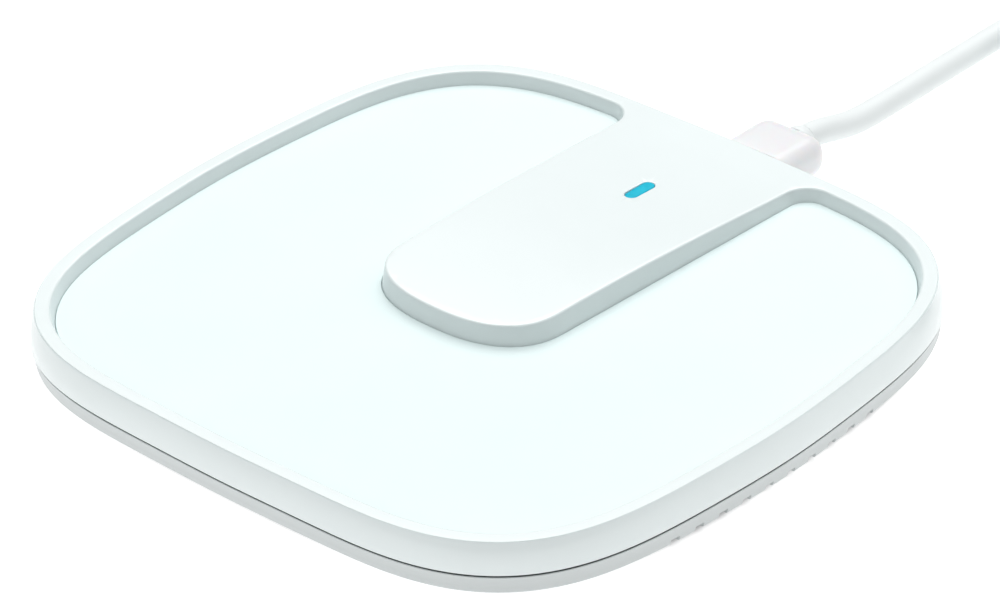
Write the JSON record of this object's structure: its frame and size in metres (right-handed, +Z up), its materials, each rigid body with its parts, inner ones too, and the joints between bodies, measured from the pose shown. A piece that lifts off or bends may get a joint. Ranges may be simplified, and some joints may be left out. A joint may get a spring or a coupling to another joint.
{
  "type": "wireless charging pad",
  "caption": "Square-round wireless phone charging pad with a raised rim and centre tongue, a status light, and a plugged-in USB-C cable that ends in a USB-A plug.",
  "frame": {"origin": "on the surface the pad stands on, under the middle of the pad", "axes": "+Z up out of the charging surface, +Y towards the back edge where the cable leaves, +X to the right"},
  "size_m": [0.1136, 0.1884, 0.0088],
  "materials": {
    "glossy_shell": "glossy white ABS with a faint cool tint",
    "satin_surface": "satin white, fine texture",
    "base_shell": "satin light grey-white ABS",
    "silicone": "soft light grey silicone",
    "screw_steel": "zinc-plated steel",
    "light_pipe": "translucent cyan-lit acrylic",
    "led_body": "clear epoxy on a white carrier",
    "copper_litz": "enamelled copper litz wire",
    "ferrite": "dark sintered ferrite",
    "board_green": "green solder mask on glass-epoxy",
    "chip_black": "black moulding compound",
    "ceramic": "tan ceramic with tinned ends",
    "thermal_grey": "soft grey gap pad",
    "contact_steel": "nickel-plated steel",
    "contact_gold": "gold-plated contact",
    "plug_plastic": "soft white moulded elastomer",
    "insert_plastic": "off-white insulator",
    "cord_jacket": "matt white cable jacket",
    "tie_fabric": "light grey hook-and-loop strap"
  },
  "bodies": {
    "pad": {"base_cover": "base_shell", "board_screw_1": "screw_steel", "board_screw_2": "screw_steel", "bridge_chip_1": "chip_black", "bridge_chip_2": "chip_black", "case_screw_1": "screw_steel", "case_screw_2": "screw_steel", "case_screw_3": "screw_steel", "case_screw_4": "screw_steel", "charging_surface": "satin_surface", "circuit_board": "board_green", "clock_crystal": "contact_steel", "coil_lead_inner": "copper_litz", "coil_lead_outer": "copper_litz", "coil_thermistor": "chip_black", "controller_chip": "chip_black", "ferrite_sheet": "ferrite", "foot_1": "silicone", "foot_2": "silicone", "foot_3": "silicone", "foot_4": "silicone", "light_pipe": "light_pipe", "power_coil": "copper_litz", "power_inductor": "chip_black", "resonant_capacitor_1": "ceramic", "resonant_capacitor_2": "ceramic", "resonant_capacitor_3": "ceramic", "resonant_capacitor_4": "ceramic", "status_led": "led_body", "thermal_pad": "thermal_grey", "top_cover": "glossy_shell", "usb_c_receptacle_insert": "chip_black", "usb_c_receptacle_shell": "contact_steel"},
    "cable": {"cable_tie": "tie_fabric", "cord": "cord_jacket", "cord_coil": "cord_jacket", "cord_tail": "cord_jacket", "usb_a_contact_1": "contact_gold", "usb_a_contact_2": "contact_gold", "usb_a_contact_3": "contact_gold", "usb_a_contact_4": "contact_gold", "usb_a_insulator": "insert_plastic", "usb_a_overmold": "plug_plastic", "usb_a_shell": "contact_steel", "usb_a_strain_relief": "cord_jacket", "usb_c_insert": "insert_plastic", "usb_c_overmold": "plug_plastic", "usb_c_shell": "contact_steel", "usb_c_strain_relief": "cord_jacket"}
  },
  "joints": [
    {"name": "plug_pull", "type": "slide", "parent": "pad", "child": "cable", "axis": [0, 1, 0], "range_m": [0, 0.008]}
  ]
}
